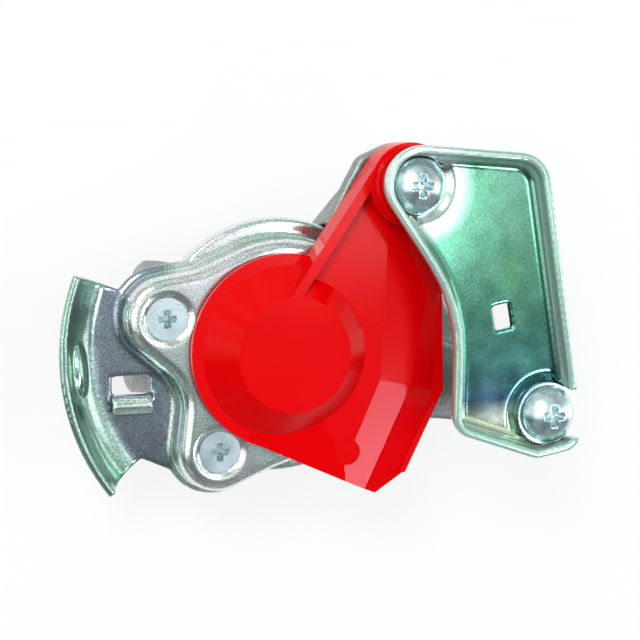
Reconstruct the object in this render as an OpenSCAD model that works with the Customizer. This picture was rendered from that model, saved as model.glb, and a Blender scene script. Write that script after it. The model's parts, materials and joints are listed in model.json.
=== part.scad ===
// Gladhand air brake coupler: palm-type coupling head with a swinging dust cover.
// Z is the seal axis and points out of the mating face, X runs from the wing to the claw.
// The origin is on the seal axis, on the raised face of the guide plate. Sizes are in mm.

/* [Layout] */
// Cover pivot, X from the seal axis
pivot_x = 26.2; // [25.9:0.1:26.5]
// Cover pivot, Y from the seal axis
pivot_y = 36.5; // [36.3:0.1:37]
// Lower claw screw, X
claw_screw_x = 57.3; // [56.5:0.1:57.6]
// Lower claw screw, Y
claw_screw_y = -15; // [-15.2:0.1:-13]
// Upper plate screw, X
upper_screw_x = -26.4; // [-27:0.1:-26]
// Upper plate screw, Y
upper_screw_y = 7.9; // [7:0.1:9]
// Lower plate screw, X
lower_screw_x = -15; // [-16:0.1:-14.5]
// Lower plate screw, Y
lower_screw_y = -22.1; // [-23:0.1:-21.5]

/* [Guide plate] */
// Sheet thickness of both pressed plates
sheet_t = 1.8; // [1.6:0.1:2]
// Radius of the raised field's wall
field_r = 24.6; // [24.2:0.1:25]
// Height of the raised field above the flange
field_h = 7.2; // [6.5:0.1:8]
// Outside bend radius at the top of the field's wall
shoulder_r = 2.6; // [2.4:0.1:3]
// Outside bend radius at the foot of the field's wall
foot_r = 1.4; // [1:0.1:1.6]
// Wall radius of the lobes around the plate screws
lobe_r = 9.2; // [8.6:0.1:9.6]
// How far the low flange with its turned-down edge stands out from the chamber
flange_step = 2.3; // [2.2:0.1:2.5]
// Radius of the wing's outer face
wing_r = 50; // [49:0.1:51]
// Inside radius of the wing's bend
wing_bend_r = 8.2; // [7.5:0.1:8.5]
// Where the wing starts, degrees from +X
wing_from = 158.7; // [157:0.1:160]
// How far the wing runs, degrees
wing_sweep = 58.8; // [54:0.1:60]
// Hole for the seal
seal_hole_r = 15.6; // [15.2:0.1:16]

/* [Claw plate] */
// Underside of the claw above the mating plane
claw_z = 9.8; // [9.7:0.1:10.5]
// How far the claw's floor is raised between its screw seats
claw_rise = 0.9; // [0.7:0.1:1.1]
// Height of the claw's upturned rim
claw_rim_h = 6.4; // [5.5:0.1:7]
// Outside bend radius of the claw's rim
claw_bend_r = 4; // [3.6:0.1:4.2]
// Rim radius around the cover pivot
claw_pivot_r = 8.4; // [8.4:0.1:9]
// Rim radius of the claw's lower corners
claw_foot_r = 5; // [4.8:0.1:5.4]
// Inner edge of the claw, radius about the seal axis
claw_inner_r = 34; // [33:0.1:34.4]
// Rim radius of the claw's upper right corner
claw_corner_r = 7.4; // [6.5:0.1:8]

/* [Dust cover] */
// Outer radius of the cap's flat rim
cap_r = 21.7; // [21:0.1:22.3]
// Foot radius of the cap's cone
cone_r = 19.2; // [18.6:0.1:19.6]
// Radius of the cap's flat top
cap_top_r = 12.6; // [12:0.1:13.2]
// Underside of the cover above the mating plane
cover_z = 0.8; // [0.8:0.1:1]
// Top of the flat rim above the mating plane
rim_top = 2.4; // [2.2:0.1:2.6]
// Top of the cap and rib above the mating plane
cap_top = 8; // [7.6:0.1:8.4]
// Top of the cover's web above the mating plane
web_top = 4.2; // [4:0.1:4.6]
// Wall of the moulding
cover_t = 1.8; // [1.6:0.1:2]
// Thickness of the rib
rib_t = 2.2; // [2:0.1:2.6]
// Outer radius of the pivot hub
hub_r = 9.2; // [9:0.1:9.4]
// Top of the pivot hub above the mating plane
hub_top = 9.4; // [9.2:0.1:9.5]

/* [Body] */
// Radius of the chamber below the flange
chamber_r = 26.5; // [26:0.1:27.5]
// Back face below the mating plane
body_depth = 36.5; // [36.5:0.1:40]
// Hexagon of the port boss, across flats
port_af = 27; // [25:0.5:27]
// End of the port boss from the seal axis
port_reach = 30.5; // [29.5:0.1:34]
// Direction of the port, degrees from +X
port_angle = 173; // [170:0.5:178]
// Depth of the port thread
port_depth = 14; // [10:0.5:15]
// Radius of the claw post's foot
claw_arm_r = 7.2; // [6.8:0.1:7.6]

/* [Fits] */
// Radial clearance of the cover on its bush
hinge_clearance = 0.06; // [0.03:0.01:0.1]
// Gap between the body and the guide plate's walls
nest_gap = 0.4; // [0.3:0.1:0.6]
// Radial clearance of a screw in its hole
screw_clearance = 0.2; // [0.15:0.05:0.3]
// Radial clearance of a screw in its thread
thread_clearance = 0.05; // [0.03:0.01:0.1]

/* [Hidden] */
$fn = 96;
pivot = [pivot_x, pivot_y];
claw_screw_at = [claw_screw_x, claw_screw_y];
upper_screw = [upper_screw_x, upper_screw_y];
lower_screw = [lower_screw_x, lower_screw_y];
big = 200;

// Levels
low_top = -field_h;
low_bottom = low_top - sheet_t;
seat_z = -sheet_t;
claw_top = claw_z + sheet_t;
claw_rim_top = claw_z + claw_rim_h;
back_z = -body_depth;
port_z = back_z + port_af / 2;

// How far a pressed rim reaches into the flat sheet next to it, how deep its edge lies there, and how
// far faces that lie on each other are set apart
lap = 0.4;
tuck = 0.3;
skin = 0.03;

// Wing and stop tongue
wing_centre_r = wing_r - wing_bend_r - sheet_t;
wing_top = low_top + wing_bend_r;
detent_r = 2.4;
detent_ring_r = 17;
detent_at_r = 45;
detent_h = 1.3;
detent_turn = wing_from + wing_sweep / 2 - 4;
tongue_w = 8.8;
tongue_at = [-33.4, -11.6];
tongue_t = 1.5;
tongue_r = 2.4;
tongue_from = -110;
tongue_sweep = 260;
tongue_window = [8.2, 5.4];
tongue_rest = 0.9;
flange_r = chamber_r + flange_step;
edge_r = 1;
edge_h = 4.2;
edge_arcs = [[58, 88], [252, 54]];

// Screws: M6 pan head and M5 countersunk
m6_r = 3;
m6_head_r = 6.3;
pivot_seat_r = 6.4;
washer_seat_r = 7.3;
m6_head_edge = 0.6;
m6_head_h = 4.6;
m6_dome_r = 7.4;
m5_r = 2.5;
m5_head_r = 4.65;
m5_head_z = -0.4;
m5_length = 14;
dimple_r = 6;
washer_r = 7;
washer_t = 1.6;
recess_w = 1.5;
recess_depth = 2.6;
m6_recess_r = 3.5;
m5_recess_r = 2.3;

// Port, M16 x 1.5
port_minor_r = 7.19;
port_major_r = 8;
passage_r = 5.5;

// Pivot bush and spring
bush_r = 5.7;
spring_wire_r = 0.5;
spring_r = 6.7;
spring_cavity_r = 7.6;
spring_turns = 3;
spring_pitch = 1.15;
spring_z = 0.4;
spring_leg_l = 5;
spring_leg_h = 3;
hinge_bore_z = 5.4;
spring_low = spring_z + spring_wire_r;
spring_high = spring_low + spring_turns * spring_pitch;

// Seal
seal_flange_r = 17.4;
seal_flange_t = 3;
seal_top = 0.5;
seal_bore_r = 10;
seal_lip_t = 2.4;
seal_groove_z = seat_z + 0.6;
chamber_bore_r = 14;

// A belt is a closed line around circles [x, y, r]. It runs anticlockwise, and a circle with a
// negative r is passed on its other side.
function next(c, i) = (i + 1) % len(c);
function prev(c, i) = (i + len(c) - 1) % len(c);
function span(c, i) = [c[next(c, i)].x - c[i].x, c[next(c, i)].y - c[i].y];
function heading(c, i) = let (d = span(c, i))
    atan2(d.y, d.x) - asin((c[next(c, i)].z - c[i].z) / norm(d));
function turned(a, left) = left ? a - 360 * floor(a / 360) : a - 360 * ceil(a / 360);
function turn(c, i) = turned(heading(c, i) - heading(c, prev(c, i)), c[i].z > 0);
function on_circle(c, i, a, out) =
    [c[i].x + (c[i].z + out) * sin(a), c[i].y - (c[i].z + out) * cos(a)];
function steps(c, i) = max(2, ceil(abs(turn(c, i)) / 9));
function belt_arc(c, i, out) = let (n = steps(c, i), from = heading(c, prev(c, i)))
    [for (k = [0 : n]) on_circle(c, i, from + turn(c, i) * k / n, out)];
function belt(c, out) = [for (i = [0 : len(c) - 1]) each belt_arc(c, i, out)];
function arc(at, r, from, to, n) =
    [for (k = [0 : n]) at + r * [cos(from + (to - from) * k / n), sin(from + (to - from) * k / n)]];

// Carries a closed section around a belt. The section's x points outward, its y is Z.
module pressed_rim(c, section)
{
    rows = [for (p = section) [for (q = belt(c, p.x)) [q.x, q.y, p.y]]];
    m = len(rows);
    n = len(rows[0]);
    polyhedron(
        points = [for (r = rows) each r],
        faces = [for (j = [0 : m - 1], i = [0 : n - 1])
            [j * n + i, j * n + (i + 1) % n, ((j + 1) % m) * n + (i + 1) % n, ((j + 1) % m) * n + i]]
    );
}

module slab(z_low, z_high)
{
    translate([0, 0, z_low])
        linear_extrude(height = z_high - z_low)
            children();
}

module at(p, z = 0)
{
    translate([p.x, p.y, z])
        children();
}

// Strip between two discs, with straight sides from radius r1 to just inside radius r2
module taper(p, q, r1, r2)
{
    a = atan2(q.y - p.y, q.x - p.x);
    side = [-sin(a), cos(a)];
    end = (r2 - tuck) * side;
    polygon([p + r1 * side, p - r1 * side, q - end, q + end]);
}

// Cross recess in a screw head, cut downward from the origin
module cross_recess(r)
{
    translate([0, 0, -recess_depth])
        intersection() {
            cylinder(h = recess_depth + 1, r1 = recess_w / 2, r2 = r + 0.3);
            union() {
                translate([-big / 2, -recess_w / 2, 0])
                    cube([big, recess_w, recess_depth + 1]);
                translate([-recess_w / 2, -big / 2, 0])
                    cube([recess_w, big, recess_depth + 1]);
            }
        }
}

// Raised field of the guide plate: main circle and the two screw lobes with their hollows
field_path = [
    [0, 0, field_r],
    [-20.8, 22.8, -4.6],
    [upper_screw_x, upper_screw_y, lobe_r],
    [-33.6, -12, -10.5],
    [lower_screw_x, lower_screw_y, lobe_r],
    [-1.3, -31.2, -4.6],
];
field_inset = shoulder_r + lap;
field_section = concat(
    [[-field_inset, 0]],
    arc([-shoulder_r, -shoulder_r], shoulder_r, 90, 0, 6),
    arc([foot_r, low_top + foot_r], foot_r, 180, 270, 4),
    [[foot_r + lap, low_top - tuck], [foot_r + lap, low_bottom + tuck]],
    arc([foot_r, low_top + foot_r], foot_r + sheet_t, 270, 180, 3),
    arc([-shoulder_r, -shoulder_r], shoulder_r - sheet_t, 0, 90, 3),
    [[-field_inset, -sheet_t]]
);

// Low sheet between the end of the wing and the lower lobe
wing_end = wing_from + wing_sweep;
patch_out_r = 39.6;
patch_out_turn = wing_end - 0.6;
patch_in_r = 30;
patch_in_turn = wing_end - 4;
low_patch = [
    patch_out_r * [cos(patch_out_turn), sin(patch_out_turn)],
    [-24.9, -26.9],
    [-20.4, -30.7],
    lower_screw,
    patch_in_r * [cos(patch_in_turn), sin(patch_in_turn)],
];

module wing_section()
{
    difference() {
        translate([wing_centre_r, wing_top])
            circle(r = wing_bend_r + sheet_t);
        translate([wing_centre_r, wing_top])
            circle(r = wing_bend_r);
        translate([wing_centre_r - big, wing_top])
            square([2 * big, big]);
        translate([wing_centre_r - big, -big])
            square([big, 2 * big]);
    }
    translate([field_r + foot_r, low_bottom])
        square([wing_centre_r - field_r - foot_r, sheet_t]);
}

module wing_sector()
{
    rotate(wing_from)
        rotate_extrude(angle = wing_sweep)
            wing_section();
}

// Long bead pressed into the wing: the crown of a ring that stands on edge below the sheet
module detent_ring(rise)
{
    out = detent_at_r - wing_centre_r;
    z = wing_top - sqrt(pow(wing_bend_r, 2) - pow(out, 2));
    rotate(detent_turn)
        translate([detent_at_r, 0, z])
            rotate([0, -asin(out / wing_bend_r), 0])
                translate([0, 0, rise - detent_ring_r - detent_r])
                    rotate([0, 90, 0])
                        rotate_extrude()
                            translate([detent_ring_r, 0])
                                circle(r = detent_r);
}

module detent()
{
    intersection() {
        detent_ring(detent_h);
        rotate(wing_from)
            rotate_extrude(angle = wing_sweep)
                translate([wing_centre_r, wing_top])
                    circle(r = wing_bend_r + sheet_t / 2);
    }
}

// Turned-down edge of the flange, over the arcs that the wing and the arm leave free
module flange_edge(from, sweep)
{
    rotate(from)
        rotate_extrude(angle = sweep) {
            translate([flange_r - edge_r, low_top - edge_r - skin])
                circle(r = edge_r);
            translate([flange_r - sheet_t, low_top - edge_h])
                square([sheet_t, edge_h - edge_r - skin]);
        }
}

// Stop tongue, lanced from the low zone and rolled over
module tongue()
{
    translate([tongue_at.x - tongue_w / 2, tongue_at.y, low_bottom + tongue_r + skin])
        rotate([90, 0, 90])
            rotate(tongue_from)
                rotate_extrude(angle = tongue_sweep)
                    translate([tongue_r - tongue_t, 0])
                        square([tongue_t, tongue_w]);
}

module plate_screw_hole(p)
{
    at(p, m5_head_z - m5_head_r)
        cylinder(h = m5_head_r, r1 = 0, r2 = m5_head_r);
    at(p, m5_head_z)
        cylinder(h = -m5_head_z, r1 = m5_head_r, r2 = dimple_r);
    at(p, low_bottom)
        cylinder(h = field_h + sheet_t, r = m5_r + screw_clearance);
}

module guide_plate()
{
    color([0.75, 0.77, 0.74])
        difference() {
            union() {
                pressed_rim(field_path, field_section);
                slab(-sheet_t, 0)
                    polygon(belt(field_path, -shoulder_r - lap / 2));
                slab(low_bottom, low_top)
                    difference() {
                        circle(r = flange_r - edge_r);
                        polygon(belt(field_path, foot_r + lap / 4));
                    }
                slab(low_bottom + skin, low_top - skin)
                    difference() {
                        polygon(low_patch);
                        polygon(belt(field_path, foot_r + lap / 4));
                    }
                for (a = edge_arcs)
                    flange_edge(a[0], a[1]);
                difference() {
                    union() {
                        wing_sector();
                        detent();
                    }
                    slab(low_bottom - 1, low_top + 1)
                        polygon(belt(field_path, foot_r + lap / 4));
                    detent_ring(detent_h - sheet_t);
                    at(tongue_at + [-tongue_window.x / 2, tongue_rest], low_bottom - 1)
                        cube([tongue_window.x, tongue_window.y, sheet_t + 2]);
                }
                tongue();
            }
            slab(-sheet_t - 1, 1)
                circle(r = seal_hole_r);
            plate_screw_hole(upper_screw);
            plate_screw_hole(lower_screw);
        }
}

// Claw plate: rim around the lower screw, the upper corner, the pivot and the seal-side edge
claw_foot_left = [-3.2, -4.5];
claw_foot_right = [2.5, -3.5];
claw_path = [
    [claw_screw_x + claw_foot_left.x, claw_screw_y + claw_foot_left.y, claw_foot_r],
    [claw_screw_x + claw_foot_right.x, claw_screw_y + claw_foot_right.y, claw_foot_r],
    [48.6, 36.1, claw_corner_r],
    [pivot_x - 0.1, pivot_y + 0.4, claw_pivot_r],
    [0, 0, -claw_inner_r],
    [38.6, -14.2, 4.8],
];
claw_inset = claw_bend_r + lap;
claw_floor = claw_z + claw_rise;
claw_section = concat(
    [[-claw_inset, claw_floor + sheet_t]],
    arc([-claw_bend_r, claw_floor + claw_bend_r], claw_bend_r - sheet_t, 270, 360, 3),
    [[-sheet_t, claw_rim_top], [0, claw_rim_top]],
    arc([-claw_bend_r, claw_floor + claw_bend_r], claw_bend_r, 0, -90, 4),
    [[-claw_inset, claw_floor]]
);
claw_window = [4, 5.6];
claw_window_at = [46.4, 7.2];
claw_window_turn = 10;
claw_notch_h = 11;
claw_notch_in = 4;
seat_slope_w = 2.2;

// Seat of a screw, pressed down out of the claw's floor
module claw_seat(p, r)
{
    at(p, claw_z)
        cylinder(h = claw_rise, r1 = r + lap, r2 = r + lap + seat_slope_w);
    at(p, claw_floor)
        cylinder(h = sheet_t - skin, r = r + lap + seat_slope_w);
}

module claw_seat_hollow(p, r)
{
    at(p, claw_top)
        cylinder(h = claw_rise, r1 = r, r2 = r + seat_slope_w);
    at(p, claw_top)
        cylinder(h = claw_rise + sheet_t, r = r);
    at(p, claw_z - 1)
        cylinder(h = sheet_t + 2, r = m6_r + screw_clearance);
}

module claw_plate()
{
    color([0.72, 0.77, 0.73])
        difference() {
            union() {
                pressed_rim(claw_path, claw_section);
                slab(claw_floor, claw_floor + sheet_t)
                    polygon(belt(claw_path, -claw_bend_r - lap / 2));
                intersection() {
                    union() {
                        claw_seat(pivot, pivot_seat_r);
                        claw_seat(claw_screw_at, washer_seat_r);
                    }
                    slab(claw_z, claw_rim_top)
                        polygon(belt(claw_path, -sheet_t / 2));
                }
            }
            claw_seat_hollow(pivot, pivot_seat_r);
            claw_seat_hollow(claw_screw_at, washer_seat_r);
            at(claw_window_at, claw_z - 1)
                rotate(claw_window_turn)
                    translate([-claw_window.x / 2, -claw_window.y / 2, 0])
                        cube([claw_window.x, claw_window.y, claw_rise + sheet_t + 2]);
            at(claw_screw_at + [claw_notch_in, -claw_notch_h / 2], claw_z - 1)
                cube([big, claw_notch_h, claw_rim_h + 2]);
        }
}

// Dust cover. The rib runs from the cap to the hub. The web rises from the cap's rim and falls away on
// its right side, first a little and then more.
rib_turn = 55.7;
rib_l = 35;
hub_ring_r = hub_r - 0.6;
tip_bend = [17.8, -30.5];
corner_bend = [28.2, -8.5];
hub_bend = [34.3, 31];
tip_crease = [11.5, -27.8];
corner_crease = [20.6, -7];
hub_crease = [22.1, 19.4];
web_rise = [[5.9, -12], [10.1, -21.1]];
tip = [20, -33];
tip_side = [27.3, -28.8];
corner = [36.4, -10.3];
crease_slope = 5;
facet_slope = 13;
facet_z = web_top - 0.75;
web_slope = 6;
lip_t = 1.5;
lip_top = 2.5;
edge_turn = -26.6;
cap_edge = (cap_r - 0.15) * [sin(edge_turn), -cos(edge_turn)];
hub_side = pivot + [hub_r - 0.1, 0];
lip = [tip_side, corner, hub_side, hub_side - [lip_t, 0], corner - [lip_t, 0], tip_side - [lip_t, 0]];
rib_along = [cos(rib_turn), sin(rib_turn)];
rib_across = [-sin(rib_turn), cos(rib_turn)];
rib_head = pivot + (hub_r - rib_t / 2) * rib_across;
rib_foot = rib_head - rib_l * rib_along;
web = [[0, 0], cap_edge, tip, tip_side, corner, hub_side, rib_head, rib_foot];
pocket_mid = [13, -4];
pocket_part = 0.84;
pocket = [for (p = [cap_edge, tip_bend, corner_bend, [30, 22]]) pocket_mid + pocket_part * (p - pocket_mid)];
ejector_r = 2.9;
ejector_depth = 0.25;
ejectors = [[13.1, -22.9], [19.8, 8.6]];

// Removes what is above a plane that falls to the right of the line from p to q at height z
module facet_cut(p, q, z, slope)
{
    at(p, z)
        rotate(atan2(q.y - p.y, q.x - p.x))
            rotate([slope, 0, 0])
                translate([-big / 2, -big, 0])
                    cube([big, big, big]);
}

module cover_web()
{
    difference() {
        slab(cover_z, web_top)
            polygon(web);
        facet_cut(web_rise[0], web_rise[1], web_top, web_slope);
        facet_cut(corner_crease, hub_crease, web_top, crease_slope);
        facet_cut(tip_crease, corner_crease, web_top, crease_slope);
        facet_cut(corner_bend, hub_bend, facet_z, facet_slope);
        facet_cut(tip_bend, corner_bend, facet_z, facet_slope);
        for (p = ejectors)
            at(p, web_top - ejector_depth)
                cylinder(h = 1, r = ejector_r);
    }
    slab(cover_z, lip_top)
        polygon(lip);
}

module cover_rib()
{
    at(pivot, cover_z)
        rotate(rib_turn)
            translate([-rib_l, hub_r - 0.1 - rib_t, 0])
                cube([rib_l, rib_t, cap_top - cover_z]);
}

// Inside of the cap, one wall thickness in from its cone
module cap_hollow()
{
    wall = cover_t * 1.2;
    fall = (cone_r - cap_top_r) / (cap_top - rim_top);
    translate([0, 0, cover_z - 1])
        cylinder(h = rim_top - cover_z + 1, r = cone_r - wall);
    translate([0, 0, rim_top])
        cylinder(h = cap_top - cover_t - rim_top, r1 = cone_r - wall, r2 = cap_top_r + fall * cover_t - wall);
}

module dust_cover()
{
    color([0.85, 0.03, 0.03])
        difference() {
            union() {
                slab(cover_z, rim_top)
                    circle(r = cap_r);
                translate([0, 0, rim_top])
                    cylinder(h = cap_top - rim_top, r1 = cone_r, r2 = cap_top_r);
                cover_web();
                cover_rib();
                at(pivot, cover_z)
                    cylinder(h = cap_top - cover_z, r = hub_r);
                at(pivot, cover_z)
                    cylinder(h = hub_top - cover_z, r = hub_ring_r);
            }
            cap_hollow();
            slab(cover_z - 1, web_top - cover_t)
                difference() {
                    polygon(pocket);
                    circle(r = cap_r);
                }
            at(pivot, cover_z - 1)
                cylinder(h = hub_top - cover_z + 2, r = bush_r + hinge_clearance);
            at(pivot, cover_z - 1)
                cylinder(h = hinge_bore_z - cover_z + 1, r = spring_cavity_r);
            at(pivot + [spring_r - 2 * spring_wire_r, 0], cover_z - 1)
                cube([4 * spring_wire_r, spring_leg_l + spring_wire_r, hinge_bore_z - cover_z + 1]);
        }
}

module pivot_bush()
{
    color([0.8, 0.82, 0.82])
        at(pivot)
            difference() {
                cylinder(h = claw_z, r = bush_r);
                translate([0, 0, -1])
                    cylinder(h = claw_z + 2, r = m6_r + screw_clearance);
            }
}

// Half turns, tilted one way and the other so that each ends where the next begins. One leg goes
// down into the body's arm, the other into the hub's wall.
module cover_spring()
{
    tilt = asin(spring_pitch / 4 / spring_r);
    leg_r = spring_wire_r - 0.02;
    color([0.55, 0.56, 0.58])
        at(pivot, spring_low) {
            translate([spring_r, 0, -spring_low - spring_leg_h + 1])
                cylinder(h = spring_low + spring_leg_h - 1, r = leg_r);
            translate([spring_r, 0, spring_high - spring_low])
                rotate([-90, 0, 0])
                    cylinder(h = spring_leg_l, r = leg_r);
            for (i = [0 : 2 * spring_turns - 1])
                translate([0, 0, (i + 0.5) * spring_pitch / 2])
                    rotate(180 * (i % 2))
                        rotate([0, tilt, 0])
                            rotate_extrude(angle = 180)
                                translate([spring_r, 0])
                                    circle(r = spring_wire_r);
        }
}

module m6_screw(p, seat, tip_z)
{
    at(p) {
        difference() {
            intersection() {
                union() {
                    translate([0, 0, seat])
                        cylinder(h = m6_head_edge, r1 = m6_head_r - m6_head_edge, r2 = m6_head_r);
                    translate([0, 0, seat + m6_head_edge])
                        cylinder(h = m6_head_h, r = m6_head_r);
                }
                translate([0, 0, seat + m6_head_h - m6_dome_r])
                    sphere(r = m6_dome_r);
            }
            translate([0, 0, seat + m6_head_h])
                cross_recess(m6_recess_r);
        }
        translate([0, 0, tip_z])
            cylinder(h = seat - tip_z + 0.5, r = m6_r);
    }
}

module pivot_screw()
{
    color([0.8, 0.82, 0.82])
        m6_screw(pivot, claw_top, pivot_screw_tip);
}

module claw_screw()
{
    color([0.8, 0.82, 0.82])
        m6_screw(claw_screw_at, claw_top + washer_t, claw_screw_tip);
}

module claw_washer()
{
    color([0.8, 0.82, 0.82])
        at(claw_screw_at, claw_top)
            difference() {
                cylinder(h = washer_t, r = washer_r);
                translate([0, 0, -1])
                    cylinder(h = washer_t + 2, r = m6_r + screw_clearance);
            }
}

module plate_screw(p)
{
    color([0.8, 0.82, 0.82])
        at(p, m5_head_z)
            difference() {
                union() {
                    translate([0, 0, m5_r - m5_head_r])
                        cylinder(h = m5_head_r - m5_r, r1 = m5_r, r2 = m5_head_r);
                    translate([0, 0, -m5_length])
                        cylinder(h = m5_length - 1, r = m5_r);
                }
                cross_recess(m5_recess_r);
            }
}

module plate_screw_upper()
{
    plate_screw(upper_screw);
}

module plate_screw_lower()
{
    plate_screw(lower_screw);
}

module seal_ring()
{
    color([0.08, 0.08, 0.08])
        rotate_extrude()
            difference() {
                union() {
                    translate([seal_bore_r, seat_z - seal_flange_t])
                        square([seal_flange_r - seal_bore_r, seal_flange_t]);
                    translate([seal_bore_r, seat_z])
                        square([seal_hole_r - nest_gap - seal_bore_r, seal_top - seat_z]);
                }
                translate([seal_bore_r + seal_lip_t, seal_groove_z])
                    square([seal_lip_t / 2, seal_top]);
            }
}

// Body
collar_top = low_bottom - nest_gap;
post_inset = shoulder_r + 0.1;
arm_r = 9;
arm_t = 4;
arm_path = [[pivot_x, pivot_y, arm_r], [19.07, 40.09, 2.8], [9.3, 14.8, 6], [24, 12, 6]];
arm_rib_r = 5.4;
arm_root_r = 9;
arm_bottom = -18.4;
boss_bottom = -20;
claw_arm_top = -10.5;
claw_arm_bottom = -19;
claw_root_r = 15;
post_r = 6.2;
web_floor = -14;
chamber_neck_z = -22;
chamber_back_z = -27;
chamber_back_r = 23;
back_edge = 4;
port_chamfer = 2.2;
fitting_r = 13;
pivot_screw_tip = arm_bottom + 3;
claw_screw_tip = -9;
back_wall = 4.5;
chamber_floor = back_z + back_wall;

module port_axis()
{
    translate([0, 0, port_z])
        rotate([90, 0, port_angle + 90])
            children();
}

module port_boss()
{
    corner_r = port_af / 2 / cos(30);
    chamfer_h = port_chamfer * tan(30);
    port_axis()
        intersection() {
            cylinder(h = port_reach, r = corner_r, $fn = 6);
            union() {
                cylinder(h = port_reach - chamfer_h, r = corner_r + 1);
                translate([0, 0, port_reach - chamfer_h])
                    cylinder(h = chamfer_h, r1 = corner_r, r2 = corner_r - port_chamfer);
            }
        }
}

module screw_boss(p)
{
    at(p, boss_bottom)
        cylinder(h = seat_z - boss_bottom, r = lobe_r - post_inset);
}

// Arm of the cover's hinge: a flat top beside the guide plate, on a narrower rib
module hinge_arm()
{
    difference() {
        union() {
            slab(-arm_t, 0)
                polygon(belt(arm_path, 0));
            slab(arm_bottom, -arm_t / 2)
                taper([0, 0], pivot, arm_root_r, arm_rib_r);
            at(pivot, arm_bottom)
                cylinder(h = -arm_t / 2 - arm_bottom, r = arm_rib_r);
        }
        translate([0, 0, low_top - edge_h - nest_gap])
            cylinder(h = big, r = flange_r + nest_gap);
    }
}

module body_solid()
{
    translate([0, 0, chamber_neck_z])
        cylinder(h = collar_top - chamber_neck_z, r = chamber_r);
    translate([0, 0, chamber_back_z])
        cylinder(h = chamber_neck_z - chamber_back_z, r1 = chamber_back_r, r2 = chamber_r);
    translate([0, 0, back_z + back_edge])
        cylinder(h = chamber_back_z - back_z - back_edge, r = chamber_back_r);
    translate([0, 0, back_z])
        cylinder(h = back_edge, r1 = chamber_back_r - back_edge, r2 = chamber_back_r);
    translate([0, 0, collar_top - 1])
        cylinder(h = seat_z - collar_top + 1, r = field_r - post_inset);
    screw_boss(upper_screw);
    screw_boss(lower_screw);
    hinge_arm();
    slab(claw_arm_bottom, claw_arm_top)
        taper([0, 0], claw_screw_at, claw_root_r, claw_arm_r);
    at(claw_screw_at, claw_arm_bottom)
        cylinder(h = claw_arm_top - claw_arm_bottom, r = claw_arm_r);
    at(claw_screw_at, claw_arm_bottom)
        cylinder(h = claw_z - claw_arm_bottom, r = post_r);
    slab(claw_arm_bottom + 1, web_floor)
        polygon([[0, 0], claw_screw_at, pivot]);
    port_boss();
}

module body()
{
    color([0.6, 0.6, 0.61])
        difference() {
            body_solid();
            translate([0, 0, seat_z - seal_flange_t])
                cylinder(h = seal_flange_t + 1, r = seal_flange_r + nest_gap);
            translate([0, 0, chamber_floor])
                cylinder(h = seat_z - chamber_floor, r = seal_bore_r);
            translate([0, 0, chamber_floor])
                cylinder(h = collar_top - 1 - chamber_floor, r = chamber_bore_r);
            port_axis()
                cylinder(h = port_reach, r = passage_r);
            port_axis()
                translate([0, 0, port_reach - port_depth])
                    cylinder(h = port_depth + 1, r = port_minor_r);
            port_axis()
                translate([0, 0, port_reach - 1])
                    cylinder(h = 1, r1 = port_minor_r, r2 = port_major_r + 0.2);
            port_axis()
                translate([0, 0, port_reach])
                    cylinder(h = big, r = fitting_r);
            for (p = [upper_screw, lower_screw])
                at(p, m5_head_z - m5_length - 1)
                    cylinder(h = m5_length, r = m5_r + thread_clearance);
            for (p = [upper_screw, lower_screw])
                at(p, m5_head_z - m5_head_r)
                    cylinder(h = m5_head_r, r1 = 0, r2 = m5_head_r);
            at(pivot, pivot_screw_tip - 1)
                cylinder(h = big, r = m6_r + thread_clearance);
            at(claw_screw_at, claw_screw_tip - 1)
                cylinder(h = big, r = m6_r + thread_clearance);
            at(pivot + [spring_r, 0], -spring_leg_h)
                cylinder(h = big, r = spring_wire_r + screw_clearance);
        }
}

body();
guide_plate();
claw_plate();
dust_cover();
seal_ring();
pivot_bush();
cover_spring();
pivot_screw();
claw_screw();
claw_washer();
plate_screw_upper();
plate_screw_lower();
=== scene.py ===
"""Looks of the gladhand air brake coupler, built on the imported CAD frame."""

import json
import math

import bpy
from mathutils import Matrix, Vector


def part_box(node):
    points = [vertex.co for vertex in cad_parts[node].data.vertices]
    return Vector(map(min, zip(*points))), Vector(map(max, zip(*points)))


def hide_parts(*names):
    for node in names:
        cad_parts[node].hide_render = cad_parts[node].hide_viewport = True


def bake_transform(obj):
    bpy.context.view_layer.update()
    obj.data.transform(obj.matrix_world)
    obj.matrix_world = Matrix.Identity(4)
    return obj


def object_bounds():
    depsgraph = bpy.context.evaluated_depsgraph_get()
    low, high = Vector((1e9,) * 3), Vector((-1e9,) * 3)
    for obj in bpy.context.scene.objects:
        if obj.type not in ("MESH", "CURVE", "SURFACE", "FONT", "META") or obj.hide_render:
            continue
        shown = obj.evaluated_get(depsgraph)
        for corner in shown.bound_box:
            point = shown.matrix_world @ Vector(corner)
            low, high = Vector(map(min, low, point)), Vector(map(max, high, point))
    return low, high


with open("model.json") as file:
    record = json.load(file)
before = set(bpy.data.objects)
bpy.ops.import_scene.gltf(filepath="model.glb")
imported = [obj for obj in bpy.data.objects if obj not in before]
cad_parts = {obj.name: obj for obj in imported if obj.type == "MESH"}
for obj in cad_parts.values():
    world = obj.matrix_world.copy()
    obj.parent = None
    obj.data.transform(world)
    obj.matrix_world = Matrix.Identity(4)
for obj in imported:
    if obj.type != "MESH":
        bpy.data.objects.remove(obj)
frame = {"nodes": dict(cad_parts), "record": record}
cad_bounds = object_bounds()
nodes = frame["nodes"]
scene = bpy.context.scene
MM = 0.001
ORIGIN = (0, 0, 0)

# Camera, fitted to the photograph. The focal length is in pixels of the picture.

PICTURE_WIDTH = 640.0
FOCAL_LENGTH = 1577.0
SENSOR_WIDTH = 36.0
CAMERA_DISTANCE = 350.0
CAMERA_TARGET = Vector((7.912, 6.457, 0.0)) * MM
VIEW_DIRECTION = Vector((-0.3076, 0.1395, 1.0)).normalized()

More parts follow.
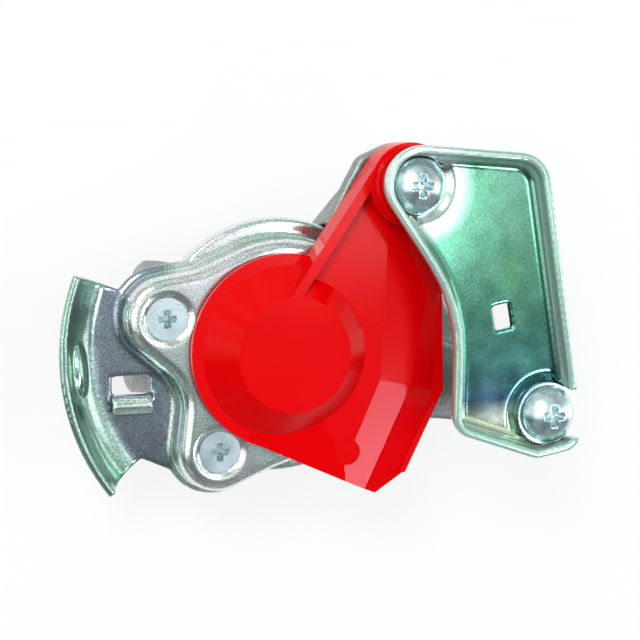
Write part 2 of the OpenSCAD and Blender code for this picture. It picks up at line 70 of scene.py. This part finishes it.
# Edges. Pressed and cast nodes: edge width and voxel size in mm, smoothing passes.

ROUNDED = {
    "guide_plate": (0.4, 0.35, 8),
    "claw_plate": (0.4, 0.28, 10),
    "body": (0.7, 0.56, 14),
    "pivot_screw": (0.15, 0.14, 5),
    "claw_screw": (0.15, 0.14, 5),
}

# Machined and moulded nodes: edge width in mm.

EASED = {
    "dust_cover": 0.45,
    "plate_screw_upper": 0.15,
    "plate_screw_lower": 0.15,
    "pivot_bush": 0.15,
    "claw_washer": 0.15,
}

# Tones of the metals, as stops of a ramp over soft noise

ZINC = [
    (0.3, (0.62, 0.80, 0.70)),
    (0.45, (0.76, 0.84, 0.80)),
    (0.55, (0.78, 0.79, 0.83)),
    (0.7, (0.82, 0.86, 0.78)),
]
BRIGHT_ZINC = [(0.3, (0.66, 0.84, 0.88)), (0.7, (0.84, 0.93, 0.95))]
CAST_GREY = [(0.3, (0.34, 0.37, 0.36)), (0.7, (0.48, 0.50, 0.49))]
WIRE_GREY = [(0.3, (0.3, 0.3, 0.31)), (0.7, (0.42, 0.42, 0.43))]
TONE_SCALE = 70.0
TONE_STRETCH = (1.0, 0.6, 1.0)
ROUGHNESS_SCALE = 220.0
GRAIN_DEPTH = 0.0001

# Claw: chromate tints of its floor from the lower end to the upper end, with painted shade that
# is darkest near the lower end, a paler tint of its rim and a painted highlight around the pivot.
# The rim begins between two heights over the underside.

# Floor tints, partly painted shade: dark blue near the lower end, lighter green upwards.
CLAW_FLOOR_TINTS_AND_SHADE = [
    (0.12, (0.8, 0.88, 0.66)),
    (0.19, (0.1, 0.2, 0.28)),
    (0.32, (0.13, 0.37, 0.3)),
    (0.6, (0.18, 0.48, 0.32)),
    (0.9, (0.24, 0.54, 0.38)),
]
CLAW_RIM_TINT = (0.6, 0.82, 0.72)
# Painted highlight: the claw's floor turns almost white around the pivot.
CLAW_PIVOT_PAINTED_HIGHLIGHT = (0.9, 1.0, 0.98)
CLAW_PIVOT_HIGHLIGHT_FADE = (9.0 * MM, 14.0 * MM)
RIM_START = 2.9 * MM
RIM_END = 3.8 * MM
RIM_METALLIC = 0.5

# Guide plate: random tints, a painted shade where it lies low and a greenish painted shade on the
# wing, with the heights, the places along X and the radii where they fade

PLATE_SHEEN = [(0.35, (0.86, 1.0, 0.92)), (0.65, (1.0, 0.95, 1.0))]
# Painted shade where the plate lies low beside the wing.
LOW_PAINTED_SHADE = (0.42, 0.46, 0.53)
LOW_SHADE_HEIGHTS = (-6.9 * MM, -5.0 * MM)
LOW_SHADE_ENDS = (-27.0 * MM, -22.0 * MM)
PLAIN = (1.0, 1.0, 1.0)
# Greenish painted shade on the wing.
WING_PAINTED_SHADE = (0.5, 0.7, 0.6)
WING_SHADE_RADII = (40.5 * MM, 44.0 * MM)

# Stage. The floor's glow is the share of plain white in it; the rest keeps the shadow.

FLOOR_SIZE = 4.0
FLOOR_GLOW = 0.8
ROOM_SHADES = [
    (0.2, (0.25, 0.27, 0.27)),
    (0.33, (0.08, 0.1, 0.1)),
    (0.39, (0.18, 0.2, 0.21)),
    (0.42, (0.36, 0.4, 0.4)),
    (0.46, (0.62, 0.67, 0.66)),
    (0.52, (0.86, 0.9, 0.88)),
    (0.8, (0.55, 0.6, 0.58)),
]


# Shader helpers


def new_material(name):
    material = bpy.data.materials.new(name)
    material.use_nodes = True
    tree = material.node_tree
    tree.nodes.clear()
    out = tree.nodes.new("ShaderNodeOutputMaterial")
    bsdf = tree.nodes.new("ShaderNodeBsdfPrincipled")
    tree.links.new(bsdf.outputs["BSDF"], out.inputs["Surface"])
    return material, tree, bsdf


def place(tree):
    """A point's place in the frame, in metres."""
    return tree.nodes.new("ShaderNodeTexCoord").outputs["Object"]


def along(tree, axis):
    """A point's place along one axis of the frame, in metres."""
    parts = tree.nodes.new("ShaderNodeSeparateXYZ")
    tree.links.new(place(tree), parts.inputs["Vector"])
    return parts.outputs[axis]


def distance_from(tree, point):
    node = tree.nodes.new("ShaderNodeVectorMath")
    node.operation = "DISTANCE"
    node.inputs[1].default_value = point
    tree.links.new(place(tree), node.inputs[0])
    return node.outputs["Value"]


def noise(tree, scale, detail=3.0, stretch=(1, 1, 1)):
    mapping = tree.nodes.new("ShaderNodeMapping")
    mapping.inputs["Scale"].default_value = stretch
    texture = tree.nodes.new("ShaderNodeTexNoise")
    texture.inputs["Scale"].default_value = scale
    texture.inputs["Detail"].default_value = detail
    tree.links.new(place(tree), mapping.inputs["Vector"])
    tree.links.new(mapping.outputs["Vector"], texture.inputs["Vector"])
    return texture.outputs["Fac"]


def ramp(tree, value, stops):
    """Turns a value into a colour, with stops of a position and a colour each."""
    node = tree.nodes.new("ShaderNodeValToRGB")
    elements = node.color_ramp.elements
    while len(elements) < len(stops):
        elements.new(0.5)
    for element, (position, colour) in zip(elements, stops):
        element.position = position
        element.color = (*colour, 1.0)
    tree.links.new(value, node.inputs["Fac"])
    return node.outputs["Color"]


def spread(tree, value, low, high, start=0.3, end=0.7):
    """Maps a value's range from start to end onto low to high."""
    node = tree.nodes.new("ShaderNodeMapRange")
    node.inputs["From Min"].default_value = start
    node.inputs["From Max"].default_value = end
    node.inputs["To Min"].default_value = low
    node.inputs["To Max"].default_value = high
    tree.links.new(value, node.inputs["Value"])
    return node.outputs["Result"]


def scaled(tree, colour, factor):
    node = tree.nodes.new("ShaderNodeVectorMath")
    node.operation = "SCALE"
    tree.links.new(colour, node.inputs["Vector"])
    tree.links.new(factor, node.inputs["Scale"])
    return node.outputs["Vector"]


def multiplied(tree, colour, other):
    node = tree.nodes.new("ShaderNodeVectorMath")
    node.operation = "MULTIPLY"
    tree.links.new(colour, node.inputs[0])
    tree.links.new(other, node.inputs[1])
    return node.outputs["Vector"]


def mixed(tree, colour, other, factor):
    """Fades a colour into a plain one by a factor."""
    node = tree.nodes.new("ShaderNodeMix")
    node.data_type = "RGBA"
    node.inputs["B"].default_value = (*other, 1.0)
    tree.links.new(colour, node.inputs["A"])
    tree.links.new(factor, node.inputs["Factor"])
    return node.outputs["Result"]


def painted_corner_shade(tree, distance, darkest):
    """Painted shade: darkens what lies deep in corners, where less light reaches."""
    node = tree.nodes.new("ShaderNodeAmbientOcclusion")
    node.samples = 8
    node.inputs["Distance"].default_value = distance
    return spread(tree, node.outputs["AO"], darkest, 1.0, start=0.15, end=0.8)


def bump(tree, bsdf, height, strength, distance):
    node = tree.nodes.new("ShaderNodeBump")
    node.inputs["Strength"].default_value = strength
    node.inputs["Distance"].default_value = distance
    tree.links.new(height, node.inputs["Height"])
    tree.links.new(node.outputs["Normal"], bsdf.inputs["Normal"])


# Materials


def metal(name, tones, rough, grain, grain_strength, speckle, shade, tint=None, metallic=1.0):
    """A metal with soft tones, fine speckled grain, painted shade in its corners and an optional
    tint, which can hold painted light.
    """
    material, tree, bsdf = new_material(name)
    bsdf.inputs["Metallic"].default_value = metallic
    colour = ramp(tree, noise(tree, TONE_SCALE, detail=4.0, stretch=TONE_STRETCH), tones)
    colour = scaled(tree, colour, spread(tree, noise(tree, grain, detail=2.0), *speckle))
    # Painted shade in corners and recesses, from ambient occlusion.
    colour = scaled(tree, colour, painted_corner_shade(tree, *shade))
    # The tint carries painted shade, and on the claw a painted highlight.
    if tint:
        colour = multiplied(tree, colour, tint(tree))
    tree.links.new(colour, bsdf.inputs["Base Color"])
    tree.links.new(spread(tree, noise(tree, ROUGHNESS_SCALE), *rough), bsdf.inputs["Roughness"])
    bump(tree, bsdf, noise(tree, grain * 0.7), grain_strength, GRAIN_DEPTH)
    return material


def claw_tint_and_painted_light(tree):
    """Chromate tint of the claw's floor with painted shade, darkest near its lower end, which
    fades to a paler tint up the rim and to a painted highlight around the pivot.
    """
    low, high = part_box("claw_plate")
    screw_low, screw_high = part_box("pivot_screw")
    pivot_x = (screw_low[0] + screw_high[0]) / 2
    pivot_y = (screw_low[1] + screw_high[1]) / 2
    up_the_claw = spread(tree, along(tree, "Y"), 0.0, 1.0, low[1], high[1])
    # Painted shade: the floor's tints darken towards its lower end.
    colour = ramp(tree, up_the_claw, CLAW_FLOOR_TINTS_AND_SHADE)
    on_rim = spread(tree, along(tree, "Z"), 0.0, 1.0, low[2] + RIM_START, low[2] + RIM_END)
    colour = mixed(tree, colour, CLAW_RIM_TINT, on_rim)
    # Painted highlight: the floor turns almost white around the pivot.
    from_pivot = distance_from(tree, (pivot_x, pivot_y, low[2]))
    pivot_highlight = spread(tree, from_pivot, 1.0, 0.0, *CLAW_PIVOT_HIGHLIGHT_FADE)
    return mixed(tree, colour, CLAW_PIVOT_PAINTED_HIGHLIGHT, pivot_highlight)


def satin_rim(tree):
    """Makes the claw's rim duller than its floor."""
    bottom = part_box("claw_plate")[0][2]
    dull = spread(tree, along(tree, "Z"), 1.0, RIM_METALLIC, bottom + RIM_START, bottom + RIM_END)
    tree.links.new(dull, tree.nodes["Principled BSDF"].inputs["Metallic"])


def plate_tint_and_painted_shade(tree):
    """Tint of the guide plate: random hues, painted shade where it lies low beside the wing, and
    greenish painted shade up the wing.
    """
    colour = ramp(tree, noise(tree, scale=180.0, detail=2.0), PLATE_SHEEN)
    # Painted shade where the plate lies low, ending past the low zone along X.
    low_shade = spread(tree, along(tree, "Z"), 1.0, 0.0, *LOW_SHADE_HEIGHTS)
    colour = mixed(tree, colour, LOW_PAINTED_SHADE, low_shade)
    past_low_shade = spread(tree, along(tree, "X"), 0.0, 1.0, *LOW_SHADE_ENDS)
    colour = mixed(tree, colour, PLAIN, past_low_shade)
    # Greenish painted shade up the wing.
    wing_shade = spread(tree, distance_from(tree, ORIGIN), 0.0, 1.0, *WING_SHADE_RADII)
    return mixed(tree, colour, WING_PAINTED_SHADE, wing_shade)


def red_plastic():
    material, tree, bsdf = new_material("red_plastic")
    reds = [(0.3, (0.72, 0.0, 0.001)), (0.7, (0.76, 0.0, 0.002))]
    colour = ramp(tree, noise(tree, scale=30.0, detail=2.0), reds)
    rough = spread(tree, noise(tree, scale=60.0, detail=2.0), low=0.11, high=0.16)
    tree.links.new(colour, bsdf.inputs["Base Color"])
    tree.links.new(rough, bsdf.inputs["Roughness"])
    bsdf.inputs["Specular IOR Level"].default_value = 0.14
    bump(tree, bsdf, noise(tree, scale=1400.0, detail=2.0), strength=0.05, distance=0.00005)
    return material


def black_rubber():
    material, tree, bsdf = new_material("black_rubber")
    blacks = [(0.3, (0.012, 0.012, 0.012)), (0.7, (0.03, 0.03, 0.03))]
    colour = ramp(tree, noise(tree, scale=300.0), blacks)
    rough = spread(tree, noise(tree, scale=500.0), low=0.55, high=0.75)
    tree.links.new(colour, bsdf.inputs["Base Color"])
    tree.links.new(rough, bsdf.inputs["Roughness"])
    return material


def make_materials():
    """Gives the materials by the record's slot, or by a node that has one of its own."""
    plate = metal(
        "zinc_plate",
        ZINC,
        rough=(0.13, 0.22),
        grain=3000.0,
        grain_strength=0.08,
        speckle=(0.62, 1.36),
        shade=(5 * MM, 0.45),
        tint=plate_tint_and_painted_shade,
        metallic=0.9,
    )
    claw = metal(
        "zinc_claw",
        ZINC,
        rough=(0.1, 0.18),
        grain=3000.0,
        grain_strength=0.05,
        speckle=(0.8, 1.14),
        shade=(4 * MM, 0.7),
        tint=claw_tint_and_painted_light,
    )
    satin_rim(claw.node_tree)
    fastener = metal(
        "zinc_fastener",
        BRIGHT_ZINC,
        rough=(0.22, 0.32),
        grain=2600.0,
        grain_strength=0.06,
        speckle=(0.9, 1.08),
        shade=(1.6 * MM, 0.25),
    )
    casting = metal(
        "cast_aluminium",
        CAST_GREY,
        rough=(0.4, 0.58),
        grain=1400.0,
        grain_strength=0.4,
        speckle=(0.75, 1.15),
        shade=(14 * MM, 0.15),
    )
    wire = metal(
        "spring_wire",
        WIRE_GREY,
        rough=(0.3, 0.4),
        grain=1400.0,
        grain_strength=0.1,
        speckle=(0.9, 1.05),
        shade=(3 * MM, 0.4),
    )
    return {
        "claw_plate": claw,
        "plated_sheet": plate,
        "plated_fastener": fastener,
        "cast_body": casting,
        "spring_wire": wire,
        "red_cover": red_plastic(),
        "seal_rubber": black_rubber(),
    }


def dress(materials):
    """Puts a material on each CAD node."""
    for part in frame["record"]["subparts"]:
        slots = nodes[part["node"]].data.materials
        slots.clear()
        slots.append(materials.get(part["node"], materials[part["material_slot"]]))


# Edges and the spring


def ease(name, width):
    """Takes the sharpness off a node's edges."""
    bevel = nodes[name].modifiers.new("edges", "BEVEL")
    bevel.width = width
    bevel.segments = 3
    bevel.limit_method = "ANGLE"
    bevel.angle_limit = math.radians(30)
    bevel.harden_normals = True


def soften(name, voxel, passes):
    """Rounds a node as pressing or casting leaves it."""
    remesh = nodes[name].modifiers.new("even", "REMESH")
    remesh.mode = "VOXEL"
    remesh.voxel_size = voxel
    remesh.use_smooth_shade = True
    smooth = nodes[name].modifiers.new("round", "SMOOTH")
    smooth.factor = 0.5
    smooth.iterations = passes


def wind_spring():
    """Puts a copy of the spring's mesh in the scene, in place of the hidden CAD spring."""
    wound = bpy.data.objects.new("wound_spring", nodes["cover_spring"].data.copy())
    scene.collection.objects.link(wound)
    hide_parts("cover_spring")
    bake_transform(wound)


# Stage


def add_floor():
    """A white sheet under the part, which keeps a faint shadow."""
    bpy.ops.mesh.primitive_plane_add(size=FLOOR_SIZE, location=(0, 0, cad_bounds[0][2]))
    floor = bpy.context.object
    floor.name = "floor"
    material, tree, bsdf = new_material("paper")
    bsdf.inputs["Base Color"].default_value = (0.9, 0.9, 0.9, 1)
    bsdf.inputs["Roughness"].default_value = 0.9
    glow = tree.nodes.new("ShaderNodeEmission")
    glow.inputs["Strength"].default_value = 1.0
    path = tree.nodes.new("ShaderNodeLightPath")
    seen = tree.nodes.new("ShaderNodeMath")
    seen.operation = "MAXIMUM"
    tree.links.new(path.outputs["Is Camera Ray"], seen.inputs[0])
    tree.links.new(path.outputs["Is Glossy Ray"], seen.inputs[1])
    share = spread(tree, seen.outputs["Value"], 0.0, FLOOR_GLOW, start=0.0, end=1.0)
    mix = tree.nodes.new("ShaderNodeMixShader")
    tree.links.new(share, mix.inputs["Fac"])
    tree.links.new(bsdf.outputs["BSDF"], mix.inputs[1])
    tree.links.new(glow.outputs["Emission"], mix.inputs[2])
    tree.links.new(mix.outputs["Shader"], tree.nodes["Material Output"].inputs["Surface"])
    floor.data.materials.append(material)


def add_world():
    """A grey room, bright above and dark below the camera, with soft patches to mirror."""
    world = bpy.data.worlds.new("studio")
    world.use_nodes = True
    tree = world.node_tree
    direction = tree.nodes.new("ShaderNodeTexCoord").outputs["Generated"]
    height = tree.nodes.new("ShaderNodeVectorMath")
    height.operation = "DOT_PRODUCT"
    height.inputs[1].default_value = (0, 1, 0)
    tree.links.new(direction, height.inputs[0])
    share = spread(tree, height.outputs["Value"], 0.0, 1.0, start=-1.0, end=1.0)
    colour = ramp(tree, share, ROOM_SHADES)
    patches = tree.nodes.new("ShaderNodeTexNoise")
    patches.inputs["Scale"].default_value = 3.0
    patches.inputs["Detail"].default_value = 1.0
    tree.links.new(direction, patches.inputs["Vector"])
    patch = spread(tree, patches.outputs["Fac"], low=0.5, high=1.4, start=0.35, end=0.65)
    colour = scaled(tree, colour, patch)
    tree.links.new(colour, tree.nodes["Background"].inputs["Color"])
    scene.world = world


def add_lamp(name, at, aim, size, power, colour=(1, 1, 1)):
    data = bpy.data.lights.new(name, "AREA")
    data.shape = "RECTANGLE"
    data.size = size[0]
    data.size_y = size[1]
    data.energy = power
    data.color = colour
    lamp = bpy.data.objects.new(name, data)
    lamp.location = at
    lamp.rotation_euler = (Vector(aim) - Vector(at)).to_track_quat("-Z", "Y").to_euler()
    scene.collection.objects.link(lamp)


def add_lamps():
    cool = (0.84, 0.92, 1.0)
    violet = (0.85, 0.87, 1.0)
    add_lamp("key", (-0.28, 0.34, 0.6), ORIGIN, (0.25, 0.25), 2.7)
    add_lamp("left", (-0.32, -0.05, 0.6), ORIGIN, (0.3, 0.5), 0.5)
    add_lamp("top", (0.216, 0.105, 0.6), (0.216, 0.105, 0), (0.112, 0.3), 0.42, cool)
    add_lamp("tip", (0.36, -0.23, 0.6), (0.02, -0.02, 0), (0.14, 0.1), 0.7, violet)
    add_lamp("side", (0.55, -0.05, 0.2), ORIGIN, (0.2, 0.5), 0.6)


def add_camera():
    data = bpy.data.cameras.new("camera")
    data.sensor_width = SENSOR_WIDTH
    data.lens = FOCAL_LENGTH / PICTURE_WIDTH * SENSOR_WIDTH
    data.clip_start = 0.01
    camera = bpy.data.objects.new("camera", data)
    camera.location = CAMERA_TARGET + VIEW_DIRECTION * CAMERA_DISTANCE * MM
    right = Vector((0, 1, 0)).cross(VIEW_DIRECTION).normalized()
    up = VIEW_DIRECTION.cross(right)
    camera.rotation_euler = Matrix((right, up, VIEW_DIRECTION)).transposed().to_euler()
    scene.collection.objects.link(camera)
    scene.camera = camera


dress(make_materials())
for node, (width, voxel, passes) in ROUNDED.items():
    ease(node, width * MM)
    soften(node, voxel * MM, passes)
for node, width in EASED.items():
    ease(node, width * MM)
wind_spring()
add_floor()
add_world()
add_lamps()
add_camera()
scene.view_settings.view_transform = "Standard"
